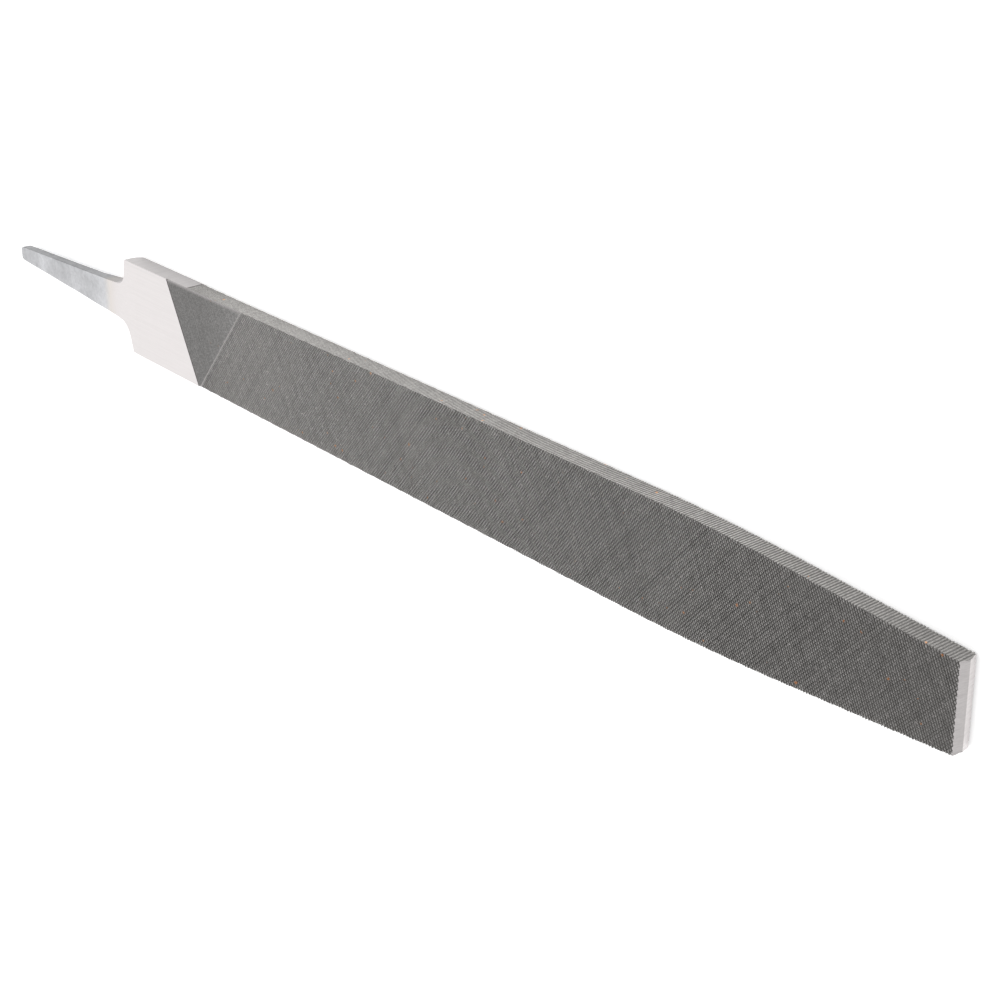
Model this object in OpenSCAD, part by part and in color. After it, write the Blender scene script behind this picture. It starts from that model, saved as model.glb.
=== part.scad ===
// Flat file for metalwork: one bar of tool steel with a tang, a bright heel,
// cut faces, cut edges and a ground point, shown as the zones it is made in.
// The file lies on its lower face. +X runs from the tang to the point, +Y across
// the width, +Z up. The origin is under the middle of the whole file.

/* [Blade] */
// Length of the blade from the shoulders to the point
body_l = 300; // [250:1:350]
// Width of the blade where its sides are parallel
body_w = 28; // [26:0.5:34]
// Thickness of the blade over the teeth
body_t = 5.4; // [5:0.1:8]

/* [Taper] */
// Length of the end that narrows towards the point
taper_run = 85; // [60:1:100]
// Length of the curved start of the taper
blend_run = 45; // [20:1:50]
// Width at the point
tip_w = 19.2; // [16:0.2:24]
// Thickness at the point
tip_t = 5; // [4.6:0.1:5]
// Height of the ridge where the two ground end facets meet
ridge_h = 0.6; // [0.2:0.1:1]

/* [Tang] */
// Length of the tang from the shoulders to its blunt end
tang_l = 71.5; // [50:0.5:90]
// Width of the tang where it leaves the shoulders
tang_root_w = 11.4; // [9:0.2:13]
// Width of the tang at its blunt end
tang_end_w = 4.2; // [3.6:0.2:6]
// Thickness of the tang next to the heel
tang_root_t = 4.5; // [4:0.1:4.8]
// Thickness of the tang at its blunt end
tang_end_t = 4.2; // [3:0.1:4.4]
// Radius of the blunt end's corners
tang_end_r = 1.7; // [0.5:0.1:1.7]

/* [Heel] */
// Lean of the shoulders towards the tang, in degrees
shoulder_lean = 13; // [0:1:20]
// Radius where the shoulders run into the tang
root_r = 5.5; // [3:0.5:5.5]
// Radius of the shoulders' outer corners
corner_r = 0.5; // [0.2:0.1:1]
// Length along which the heel thins towards the tang
thinning_run = 4; // [2:0.5:8]

/* [Cut] */
// Depth of the steel that the teeth are cut into
cut_depth = 0.4; // [0.3:0.05:0.6]
// Angle between the upcut teeth and the length, in degrees
upcut_angle = 65; // [60:1:75]
// Angle between the overcut teeth and the length, in degrees
overcut_angle = 48; // [45:1:60]
// Distance from the shoulders to the first upcut tooth, on the near edge
upcut_start = 24.4; // [18:0.2:25]
// Distance from the shoulders to the first overcut tooth, on the far edge
overcut_start = 38.4; // [38.4:0.2:42]
// Distance from the shoulders to the first tooth of the cut edges
edge_cut_start = 35.5; // [34:0.5:38]

/* [Hidden] */

// Stations along the file, measured from the shoulders
root_x = -7;
heel_end = 43;
point_start = body_l - 10;
taper_start = body_l - taper_run;
blend_end = taper_start + blend_run;
ridge_x = body_l + ridge_h;
// The shoulders stand here when the middle of the whole length is at x = 0
shoulder_x = (tang_l - ridge_x) / 2;

half_w = body_w / 2;
half_t = body_t / 2;
core_half_t = half_t - cut_depth;
tip_half_t = tip_t / 2;
// Slope of the straight part of the taper
taper_slope = (body_w - tip_w) / 2 / (taper_run - blend_run / 2);
// How far the slanted starts of the two cuts lean over the width
upcut_lean = body_w / tan(upcut_angle);
overcut_lean = body_w / tan(overcut_angle);
// Room by which cutting shapes run past the steel
past = 5;
blend_steps = 12;
arc_steps = 8;
steel_bright = [0.86, 0.85, 0.84];
steel_forged = [0.72, 0.73, 0.75];
steel_cut = [0.42, 0.42, 0.41];
steel_edge = [0.6, 0.6, 0.59];

// Half of the blade's width at a station: parallel, then a parabola, then straight
function half_width(x) =
    x <= taper_start ? half_w
    : x <= blend_end ? half_w - taper_slope * pow(x - taper_start, 2) / (2 * blend_run)
    : half_w - taper_slope * (blend_run / 2 + x - blend_end);

// Stations at which the sides of the blade change direction, between two others
function side_stations(x0, x1) = concat(
    [x0],
    [for (i = [0:blend_steps]) taper_start + blend_run * i / blend_steps],
    [x1]
);

// Points on the +Y side of the blade, set in from the outside by a depth
function side_line(x0, x1, inset) =
    [for (x = side_stations(x0, x1)) [x, half_width(x) - inset]];

function flip_y(points) =
    [for (i = [len(points) - 1:-1:0]) [points[i][0], -points[i][1]]];

function unit(v) = v / norm(v);

// Arc of radius r that rounds the corner at p between directions a and b
function rounded_corner(p, a, b, r) = let(
    half = acos(a * b) / 2,
    centre = p + unit(a + b) * r / sin(half),
    from = p + a * r / tan(half) - centre,
    to = p + b * r / tan(half) - centre,
    start = atan2(from[1], from[0]),
    turn = atan2(from[0] * to[1] - from[1] * to[0], from * to)
) [for (i = [0:arc_steps]) centre + r * [cos(start + turn * i / arc_steps), sin(start + turn * i / arc_steps)]];

// Half outline of the tang and heel, from the end of the heel to the tang's end
function tang_side() = let(
    tang_fall = (tang_root_w - tang_end_w) / 2 / tang_l,
    lean_dir = [sin(shoulder_lean), cos(shoulder_lean)],
    tang_dir = unit([-1, -tang_fall]),
    root_y = tang_root_w / 2,
    shoulder = [0, half_w],
    root = shoulder - lean_dir * (half_w - root_y) / cos(shoulder_lean),
    tang_end = root + tang_dir * (tang_l + root[0]) / -tang_dir[0]
) concat(
    [[heel_end, half_w]],
    rounded_corner(shoulder, [1, 0], -lean_dir, corner_r),
    rounded_corner(root, lean_dir, tang_dir, root_r),
    rounded_corner(tang_end, -tang_dir, [0, -1], tang_end_r)
);

// Places a shape that is drawn from the shoulders and the middle of the thickness
module in_frame() {
    translate([shoulder_x, 0, half_t])
        children();
}

// Extrudes an outline seen from above through the whole thickness
module through_thickness() {
    translate([0, 0, -body_t])
        linear_extrude(2 * body_t)
            children();
}

// Extrudes an outline seen from the side, drawn as [x, z], across the whole width
module across_width() {
    translate([0, body_w, 0])
        rotate([90, 0, 0])
            linear_extrude(2 * body_w)
                children();
}

// The forged end, seen from above and from the side, between two stations
module forged_end(x0, x1) {
    intersection() {
        through_thickness()
            polygon(concat(tang_side(), flip_y(tang_side())));
        across_width()
            polygon([
                [heel_end, -half_t], [heel_end, half_t],
                [thinning_run, half_t], [root_x, tang_root_t / 2],
                [-tang_l, tang_end_t / 2], [-tang_l, -tang_end_t / 2],
                [root_x, -tang_root_t / 2], [thinning_run, -half_t]
            ]);
        translate([x0, -body_w, -body_t])
            cube([x1 - x0, 2 * body_w, 2 * body_t]);
    }
}

// Side view of the blade inside the teeth, with the two ground facets of the end
module core_side_view(x0) {
    tip_core = tip_half_t - cut_depth;
    end_x = facet_x(tip_core);
    polygon([
        [x0, -core_half_t], [taper_start, -core_half_t], [end_x, -tip_core], [ridge_x, 0],
        [end_x, tip_core], [taper_start, core_half_t], [x0, core_half_t]
    ]);
}

// Station of the end facets at a height above the middle of the thickness
function facet_x(height) = ridge_x - ridge_h * height / tip_half_t;

// Side view of the layer of steel that one face's teeth are cut into
module skin_side_view() {
    polygon([
        [0, core_half_t], [taper_start, core_half_t],
        [facet_x(tip_half_t - cut_depth), tip_half_t - cut_depth],
        [body_l, tip_half_t], [taper_start, half_t], [0, half_t]
    ]);
}

// One face's toothed layer inside an outline seen from above
module face_skin() {
    intersection() {
        through_thickness()
            children();
        across_width()
            skin_side_view();
    }
}

// Outline of the blade from above, past a slanted line across the width
module blade_beyond(near_x, far_x) {
    polygon(concat(
        [[near_x, half_w]],
        side_line(heel_end + overcut_lean, ridge_x, 0),
        flip_y(side_line(heel_end + overcut_lean, ridge_x, 0)),
        [[far_x, -half_w]]
    ));
}

// Space taken out of the heel for one face's toothed layer
module lead_in_recess() {
    translate([0, 0, core_half_t])
        linear_extrude(body_t)
            polygon([
                [upcut_start - upcut_lean * past / body_w, half_w + past],
                [body_l, half_w + past], [body_l, -half_w - past],
                [upcut_start + upcut_lean * (1 + past / body_w), -half_w - past]
            ]);
}

// Space taken out of the heel for one edge's toothed layer
module edge_recess() {
    translate([edge_cut_start, half_w - cut_depth, -core_half_t])
        cube([body_l, past, 2 * core_half_t]);
}

module face_lead_in() {
    color(steel_cut)
        face_skin()
            polygon([
                [upcut_start, half_w], [overcut_start + overcut_lean, half_w],
                [overcut_start, -half_w], [upcut_start + upcut_lean, -half_w]
            ]);
}

module double_cut_face() {
    color(steel_cut)
        face_skin()
            blade_beyond(overcut_start + overcut_lean, overcut_start);
}

module cut_edge() {
    color(steel_edge)
        intersection() {
            through_thickness()
                polygon(concat(
                    side_line(edge_cut_start, ridge_x, cut_depth),
                    [for (i = [len(side_stations(0, 0)) - 1:-1:0])
                        side_line(edge_cut_start, ridge_x, 0)[i]]
                ));
            across_width()
                core_side_view(0);
        }
}

// Turns a shape on the upper face over to the lower face
module turned_over() {
    rotate([180, 0, 0])
        children();
}

module tang() {
    color(steel_forged)
        in_frame()
            forged_end(-tang_l - past, root_x);
}

module heel() {
    color(steel_bright)
        in_frame()
            difference() {
                forged_end(root_x, heel_end);
                lead_in_recess();
                turned_over() lead_in_recess();
                edge_recess();
                turned_over() edge_recess();
            }
}

// The inside of the blade between two stations
module inner_bar(x0, x1) {
    intersection() {
        through_thickness()
            polygon(concat(
                side_line(heel_end, ridge_x, cut_depth),
                flip_y(side_line(heel_end, ridge_x, cut_depth))
            ));
        across_width()
            core_side_view(heel_end);
        translate([x0, -body_w, -body_t])
            cube([x1 - x0, 2 * body_w, 2 * body_t]);
    }
}

module blade_core() {
    color(steel_bright)
        in_frame()
            inner_bar(heel_end, point_start);
}

module point() {
    color(steel_bright)
        in_frame()
            inner_bar(point_start, ridge_x + past);
}

module upper_lead_in() {
    in_frame() face_lead_in();
}

module lower_lead_in() {
    in_frame() turned_over() face_lead_in();
}

module upper_face_cut() {
    in_frame() double_cut_face();
}

module lower_face_cut() {
    in_frame() turned_over() double_cut_face();
}

module left_edge_cut() {
    in_frame() cut_edge();
}

module right_edge_cut() {
    in_frame() turned_over() cut_edge();
}

tang();
heel();
blade_core();
point();
upper_lead_in();
lower_lead_in();
upper_face_cut();
lower_face_cut();
left_edge_cut();
right_edge_cut();
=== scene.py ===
import math

import bmesh
import bpy
from mathutils import Matrix, Vector, noise


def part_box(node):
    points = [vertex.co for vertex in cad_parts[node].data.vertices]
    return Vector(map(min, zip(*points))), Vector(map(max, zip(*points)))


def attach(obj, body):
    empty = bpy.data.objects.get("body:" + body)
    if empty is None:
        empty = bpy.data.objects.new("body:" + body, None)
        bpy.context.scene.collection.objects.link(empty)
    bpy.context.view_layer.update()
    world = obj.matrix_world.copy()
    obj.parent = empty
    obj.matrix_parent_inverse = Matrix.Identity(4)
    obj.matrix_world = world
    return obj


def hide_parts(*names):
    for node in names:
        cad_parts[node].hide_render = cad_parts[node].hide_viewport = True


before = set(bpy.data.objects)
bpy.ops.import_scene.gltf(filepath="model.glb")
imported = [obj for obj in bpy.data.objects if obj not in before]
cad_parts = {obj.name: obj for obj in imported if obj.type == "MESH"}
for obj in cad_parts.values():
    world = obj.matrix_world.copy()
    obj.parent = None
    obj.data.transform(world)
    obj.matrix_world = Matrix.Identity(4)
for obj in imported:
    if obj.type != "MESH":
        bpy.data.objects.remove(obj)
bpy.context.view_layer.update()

bl_info = {
    "name": "Flat file",
    "version": (1, 0, 0),
    "blender": (4, 5, 0),
    "location": "3D View > Sidebar > Flat file",
    "description": "Builds a double-cut flat file with real teeth, a forged tang and ground steel",
    "category": "Add Mesh",
}

MM = 0.001
# Points closer together than this are one
WELD = 0.001 * MM
BODY = "root"

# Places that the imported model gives
HEEL_LOW, HEEL_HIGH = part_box("heel")
TANG_LOW, TANG_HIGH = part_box("tang")
LEAD_LOW, LEAD_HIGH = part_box("upper_lead_in")
POINT_LOW, POINT_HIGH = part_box("point")
EDGE_LOW, EDGE_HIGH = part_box("left_edge_cut")
HALF_W = HEEL_HIGH[1]
BODY_T = HEEL_HIGH[2] - HEEL_LOW[2]
HALF_T = BODY_T / 2
MID_Z = (HEEL_LOW[2] + HEEL_HIGH[2]) / 2
ROOT_X = HEEL_LOW[0]
RIDGE_X = POINT_HIGH[0]
CUT_DEPTH = HEEL_HIGH[2] - LEAD_LOW[2]
UPCUT_X = LEAD_LOW[0]
OVERCUT_TOP_X = LEAD_HIGH[0]
EDGE_CUT_X = EDGE_LOW[0]


class FileSizes(bpy.types.PropertyGroup):
    """Sizes of the cut, the taper and the forged end."""

    upcut_pitch: bpy.props.FloatProperty(
        name="Upcut pitch", description="Distance between upcut teeth, square to their edges",
        default=0.605 * MM, unit="LENGTH")
    upcut_angle: bpy.props.FloatProperty(
        name="Upcut angle", description="Angle between the upcut teeth and the length",
        default=math.radians(65), subtype="ANGLE")
    overcut_pitch: bpy.props.FloatProperty(
        name="Overcut pitch", description="Distance between overcut grooves, square to them",
        default=0.64 * MM, unit="LENGTH")
    overcut_angle: bpy.props.FloatProperty(
        name="Overcut angle", description="Angle between the overcut grooves and the length",
        default=math.radians(48), subtype="ANGLE")
    tooth_depth: bpy.props.FloatProperty(
        name="Tooth depth", description="Depth of the upcut below the tips of the teeth",
        default=0.28 * MM, unit="LENGTH")
    edge_pitch: bpy.props.FloatProperty(
        name="Edge pitch", description="Distance between the teeth of the cut edges",
        default=0.74 * MM, unit="LENGTH")
    edge_depth: bpy.props.FloatProperty(
        name="Edge tooth depth", description="Depth of the cut in the edges",
        default=0.2 * MM, unit="LENGTH")
    unevenness: bpy.props.FloatProperty(
        name="Unevenness", description="How far single strokes stray from an even spacing",
        default=0.055 * MM, unit="LENGTH")
    taper_run: bpy.props.FloatProperty(
        name="Taper length", description="Length of the end that narrows towards the point",
        default=85 * MM, unit="LENGTH")
    blend_run: bpy.props.FloatProperty(
        name="Taper curve", description="Length of the curved start of the taper",
        default=45 * MM, unit="LENGTH")
    ridge_h: bpy.props.FloatProperty(
        name="Point ridge", description="Height of the ridge between the point's ground facets",
        default=0.6 * MM, unit="LENGTH")
    tip_t: bpy.props.FloatProperty(
        name="Point thickness", description="Thickness of the blade at the point",
        default=5 * MM, unit="LENGTH")


class FileColours(bpy.types.PropertyGroup):
    """Colours of the steel's finishes."""

    ground: bpy.props.FloatVectorProperty(
        name="Ground steel", description="Colour of the bright ground heel and point",
        subtype="COLOR", size=3, default=(0.82, 0.783, 0.778), min=0, max=1)
    forged: bpy.props.FloatVectorProperty(
        name="Forged steel", description="Colour of the forged tang",
        subtype="COLOR", size=3, default=(0.645, 0.648, 0.666), min=0, max=1)
    straw: bpy.props.FloatVectorProperty(
        name="Straw tint", description="Heat tint beside the heel",
        subtype="COLOR", size=3, default=(0.785, 0.742, 0.71), min=0, max=1)
    cut_face: bpy.props.FloatVectorProperty(
        name="Cut faces", description="Colour of the toothed faces",
        subtype="COLOR", size=3, default=(0.93, 0.903, 0.88), min=0, max=1)
    # The toothed edges' colour is far darker than the faces': painted shade on the upright edges.
    cut_edge: bpy.props.FloatVectorProperty(
        name="Cut edges", description="Colour of the toothed edges",
        subtype="COLOR", size=3, default=(0.40, 0.389, 0.376), min=0, max=1)
    rust: bpy.props.FloatVectorProperty(
        name="Rust", description="Colour of the few rust freckles",
        subtype="COLOR", size=3, default=(0.72, 0.40, 0.22), min=0, max=1)


# ---------------------------------------------------------------- shape of the blade

def sizes():
    return bpy.context.scene.file_sizes


def colours():
    return bpy.context.scene.file_colours


def body_end_x():
    return RIDGE_X - sizes().ridge_h


def taper_start_x():
    return body_end_x() - sizes().taper_run


def taper_slope():
    """Slope of the straight part of the taper, worked out from the width at the point."""
    s = sizes()
    point_x = POINT_LOW[0]
    curved = s.blend_run / 2
    drop = HALF_W - CUT_DEPTH - POINT_HIGH[1]
    return drop / (curved + point_x - taper_start_x() - s.blend_run)


def half_width(x):
    """Half of the blade's width at x: parallel, then a parabola, then straight."""
    s = sizes()
    past = x - taper_start_x()
    curved = min(max(past, 0), s.blend_run)
    straight = max(past - s.blend_run, 0)
    return HALF_W - taper_slope() * (curved ** 2 / (2 * s.blend_run) + straight)


def thinning():
    """How much each face comes in for each unit of length past the start of the taper."""
    s = sizes()
    return (HALF_T - s.tip_t / 2) / s.taper_run


def thickness_fall(x):
    """How far each face has come in towards the middle at x."""
    return thinning() * max(x - taper_start_x(), 0)


def facet_x(height):
    """Where the ground facets of the point stand at a height above mid thickness."""
    s = sizes()
    return RIDGE_X - s.ridge_h * abs(height) / (s.tip_t / 2)


def blade_stations(start, end):
    """Stations from start to end at which the sides or faces change direction."""
    s = sizes()
    steps = 12
    curve = [taper_start_x() + s.blend_run * i / steps for i in range(steps + 1)]
    return [start, *[x for x in curve if start < x < end], end]


# ---------------------------------------------------------------- mesh helpers

def new_object(name, mesh):
    piece = bpy.data.objects.new(name, mesh)
    bpy.context.collection.objects.link(piece)
    return piece


def mesh_from(bm, name):
    mesh = bpy.data.meshes.new(name)
    bm.normal_update()
    bm.to_mesh(mesh)
    bm.free()
    return mesh


def loft(rings, caps):
    """Closed solid through rings of points; caps lists each end face as ring indices."""
    bm = bmesh.new()
    loops = [[bm.verts.new(p) for p in ring] for ring in rings]
    count = len(rings[0])
    for near, far in zip(loops, loops[1:]):
        for i in range(count):
            j = (i + 1) % count
            bm.faces.new((near[i], near[j], far[j], far[i]))
    for cap in caps:
        bm.faces.new([loops[0][i] for i in reversed(cap)])
        bm.faces.new([loops[-1][i] for i in cap])
    bmesh.ops.recalc_face_normals(bm, faces=bm.faces[:])
    return bm


def remove(piece):
    mesh = piece.data
    bpy.data.objects.remove(piece)
    bpy.data.meshes.remove(mesh)


def turn_over(mesh):
    """Turns a mesh over about the file's own length, from the upper side to the lower."""
    mesh.transform(
        Matrix.Translation((0, 0, MID_Z)) @ Matrix.Rotation(math.pi, 4, "X")
        @ Matrix.Translation((0, 0, -MID_Z)))


# ---------------------------------------------------------------- node helpers

class Tree:
    """Adds nodes to a node tree and joins them."""

    def __init__(self, tree):
        self.tree = tree

    def node(self, kind, *links, out=0, **settings):
        made = self.tree.nodes.new(kind)
        values = settings.pop("inputs", {})
        for key, value in settings.items():
            setattr(made, key, value)
        for i, link in enumerate(links):
            self.put(made.inputs[i], link)
        for key, value in values.items():
            self.put(made.inputs[key], value)
        return made.outputs[out] if out is not None else made

    def put(self, socket, value):
        if isinstance(value, bpy.types.NodeSocket):
            self.tree.links.new(value, socket)
        elif value is not None:
            socket.default_value = value

    def math(self, operation, *values, clamp=False):
        return self.node("ShaderNodeMath", *values, operation=operation, use_clamp=clamp)

    def add(self, a, b):
        return self.math("ADD", a, b)

    def sub(self, a, b):
        return self.math("SUBTRACT", a, b)

    def mul(self, a, b):
        return self.math("MULTIPLY", a, b)

    def div(self, a, b):
        return self.math("DIVIDE", a, b)

    def vector(self, operation, *values):
        return self.node("ShaderNodeVectorMath", *values, operation=operation)

    def scaled(self, vector, factor):
        return self.node("ShaderNodeVectorMath", vector, operation="SCALE",
                         inputs={"Scale": factor})

    def dot(self, a, b):
        return self.node("ShaderNodeVectorMath", a, b, operation="DOT_PRODUCT", out="Value")

    def noise(self, size, out="Fac", **inputs):
        return self.node("ShaderNodeTexNoise", out=out, noise_dimensions=size, inputs=inputs)

    def place(self):
        return self.node("ShaderNodeTexCoord", out="Object")

    def combine(self, x, y, z):
        return self.node("ShaderNodeCombineXYZ", x, y, z)

    def split(self, vector):
        made = self.node("ShaderNodeSeparateXYZ", vector, out=None)
        return made.outputs[0], made.outputs[1], made.outputs[2]


def modifier_tree(name, **inputs):
    """A geometry node tree with a Material and the inputs listed by kind.

    Returns the tree, its builder and its inputs.
    """
    tree = bpy.data.node_groups.new(name, "GeometryNodeTree")
    face = tree.interface
    face.new_socket("Geometry", in_out="INPUT", socket_type="NodeSocketGeometry")
    for kind, labels in {**inputs, "Material": ["Material"]}.items():
        for label in labels:
            face.new_socket(label, in_out="INPUT", socket_type="NodeSocket" + kind)
    face.new_socket("Geometry", in_out="OUTPUT", socket_type="NodeSocketGeometry")
    t = Tree(tree)
    group = t.node("NodeGroupInput", out=None)
    return tree, t, group.outputs


def end_tree(t, geometry, finish):
    """Realizes what is left as instances, settles the finish of the cut and puts it out."""
    real = t.node("GeometryNodeRealizeInstances", geometry)
    cut = t.node("GeometryNodeMaterialSelection", finish)
    result = t.node("NodeGroupOutput", out=None)
    t.put(result.inputs[0], t.node("GeometryNodeSetMaterial", real, cut, finish))


def grown(name, tree, values):
    """Plain mesh object that a geometry node tree makes with the given input values."""
    base = new_object(name, bpy.data.meshes.new(name + "_base"))
    modifier = base.modifiers.new("Cut", "NODES")
    modifier.node_group = tree
    for item in tree.interface.items_tree:
        if item.in_out == "INPUT" and item.name in values:
            modifier[item.identifier] = values[item.name]
    bpy.context.view_layer.update()
    graph = bpy.context.evaluated_depsgraph_get()
    mesh = bpy.data.meshes.new_from_object(base.evaluated_get(graph))
    mesh.name = name
    base.modifiers.remove(modifier)
    spare = base.data
    base.data = mesh
    bpy.data.meshes.remove(spare)
    return base


def half_width_nodes(t, x, start, blend, slope):
    """The blade's half width at x, as half_width() gives it."""
    past = t.sub(x, start)
    curved = t.math("MINIMUM", t.math("MAXIMUM", past, 0.0), blend)
    straight = t.math("MAXIMUM", t.sub(past, blend), 0.0)
    bend = t.div(t.mul(curved, curved), t.mul(blend, 2.0))
    return t.sub(HALF_W, t.mul(slope, t.add(bend, straight)))


TAPER_INPUTS = ("Taper start", "Taper curve", "Taper slope")
LIMIT_INPUTS = ("Outline", "Left side", "Right side")


def taper_inputs(given):
    return [given[name] for name in TAPER_INPUTS]


def taper_values():
    return dict(zip(TAPER_INPUTS, (taper_start_x(), sizes().blend_run, taper_slope())))


# ---------------------------------------------------------------- trees for the cut

# Place of the cutting edge between one gullet and the next
UPCUT_CREST = 0.78
EDGE_CREST = 0.74
# How much further than the strokes a single tooth may stray
TOOTH_SHAKE = 3.8
# Width of the belt of teeth around the outline that is made and then cut away
SPARE = 1.4 * MM


def closed_slab(t, sheet, direction, depth):
    """Gives an open sheet its thickness in a direction away from its faces."""
    moved = t.node("GeometryNodeExtrudeMesh", sheet, None, t.combine(*direction), depth, False)
    back = t.node("GeometryNodeFlipFaces", moved)
    joined = t.node("GeometryNodeJoinGeometry", out=None)
    t.put(joined.inputs[0], sheet)
    t.put(joined.inputs[0], back)
    return t.node("GeometryNodeMergeByDistance", joined.outputs[0], None, WELD)


def common_part(t, meshes):
    """The steel that lies inside every one of the closed meshes."""
    made = t.node("GeometryNodeMeshBoolean", out=None, operation="INTERSECT", solver="MANIFOLD")
    for mesh in meshes:
        t.put(made.inputs["Mesh 2"], mesh)
    return made.outputs[0]


def stray(t, phase, seed, reach):
    """Small smooth wandering along a numbered row of strokes."""
    value = t.noise("1D", W=t.add(t.mul(phase, 0.83), seed), Scale=1.0, Detail=1.0)
    return t.mul(t.sub(value, 0.5), t.mul(reach, 2.0))


def saw_grid(t, count, spare, crest_place):
    """A grid whose columns are in turn the gullets and the crests of a row of teeth.

    Returns the grid, each point's column, its side (-1 or 1), whether it is a crest, and its
    place along the row in teeth. The spare columns come before the first gullet.
    """
    columns = t.add(t.mul(count, 2.0), spare + 1.0)
    grid = t.node("GeometryNodeMeshGrid", 1.0, 1.0, columns, 2)
    index = t.node("GeometryNodeInputIndex")
    column = t.math("FLOOR", t.div(index, 2.0))
    side = t.sub(t.mul(t.math("MODULO", index, 2.0), 2.0), 1.0)
    step = t.sub(column, spare)
    tooth = t.math("FLOOR", t.div(step, 2.0))
    crest = t.sub(step, t.mul(tooth, 2.0))
    return grid, column, side, crest, t.add(tooth, t.mul(crest, crest_place))


def edge_tree():
    """One cut edge: a row of teeth straight across the thickness, along the tapering side."""
    run_up, gap = 80 * MM, 0.02 * MM
    tree, t, given = modifier_tree("Edge teeth", Int=["Count"], Float=[
        "Pitch", "Depth", "Start", "Half height", "Reach", "Unevenness", "Seed", *TAPER_INPUTS])
    grid, column, side, crest, phase = saw_grid(t, given["Count"], 2.0, EDGE_CREST)
    wander = stray(t, phase, given["Seed"], given["Unevenness"])
    cut_x = t.add(t.add(given["Start"], t.mul(phase, given["Pitch"])), wander)
    plain = t.math("LESS_THAN", column, 2.0)
    first = t.math("LESS_THAN", column, 1.0)
    plain_x = t.sub(t.sub(given["Start"], gap), t.mul(first, run_up))
    cut = t.sub(1.0, plain)
    x = t.add(t.mul(plain, plain_x), t.mul(cut, cut_x))
    shallower = stray(t, t.mul(phase, 0.7), t.add(given["Seed"], 40.0), 0.25)
    depth = t.mul(given["Depth"], t.sub(1.0, t.math("ABSOLUTE", shallower)))
    notch = t.mul(t.mul(t.sub(1.0, crest), cut), depth)
    y = t.sub(half_width_nodes(t, x, *taper_inputs(given)), notch)
    z = t.add(MID_Z, t.mul(side, given["Half height"]))
    placed = t.node("GeometryNodeSetPosition", grid, None, t.combine(x, y, z))
    sheet = t.node("GeometryNodeFlipFaces", placed)
    slab = closed_slab(t, sheet, (0, -1, 0), given["Reach"])
    dressed = t.node("GeometryNodeSetMaterial", slab, None, given["Material"])
    end_tree(t, dressed, given["Material"])
    return tree


def bodies_in(t, sockets):
    """Meshes of the given object inputs, as they stand."""
    return [t.node("GeometryNodeObjectInfo", s, False, out="Geometry") for s in sockets]


def end_in_limits(t, sheet, given):
    """Thickens a toothed sheet, keeps what lies inside the limits and puts it out."""
    slab = closed_slab(t, sheet, (0, 0, -1), 2 * MM)
    dressed = t.node("GeometryNodeSetMaterial", slab, None, given["Material"])
    limits = bodies_in(t, [given[name] for name in LIMIT_INPUTS])
    end_tree(t, common_part(t, [dressed, *limits]), given["Material"])


def lead_in_tree():
    """Single cut: straight ridges side by side, kept inside the outline."""
    tree, t, given = modifier_tree(
        "Single cut", Int=["Count"], Float=["Pitch", "Depth", "Unevenness", "Seed"],
        Vector=["Origin", "Across", "Along"], Object=LIMIT_INPUTS)
    grid, _, side, crest, phase = saw_grid(t, given["Count"], 0.0, UPCUT_CREST)
    wander = stray(t, phase, given["Seed"], given["Unevenness"])
    reach = t.add(t.mul(phase, given["Pitch"]), wander)
    sideways = t.scaled(given["Across"], reach)
    lengthways = t.scaled(given["Along"], side)
    drop = t.combine(0.0, 0.0, t.mul(t.mul(t.sub(1.0, crest), given["Depth"]), -1.0))
    place = given["Origin"]
    for part in (sideways, lengthways, drop):
        place = t.vector("ADD", place, part)
    end_in_limits(t, t.node("GeometryNodeSetPosition", grid, None, place), given)
    return tree


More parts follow.
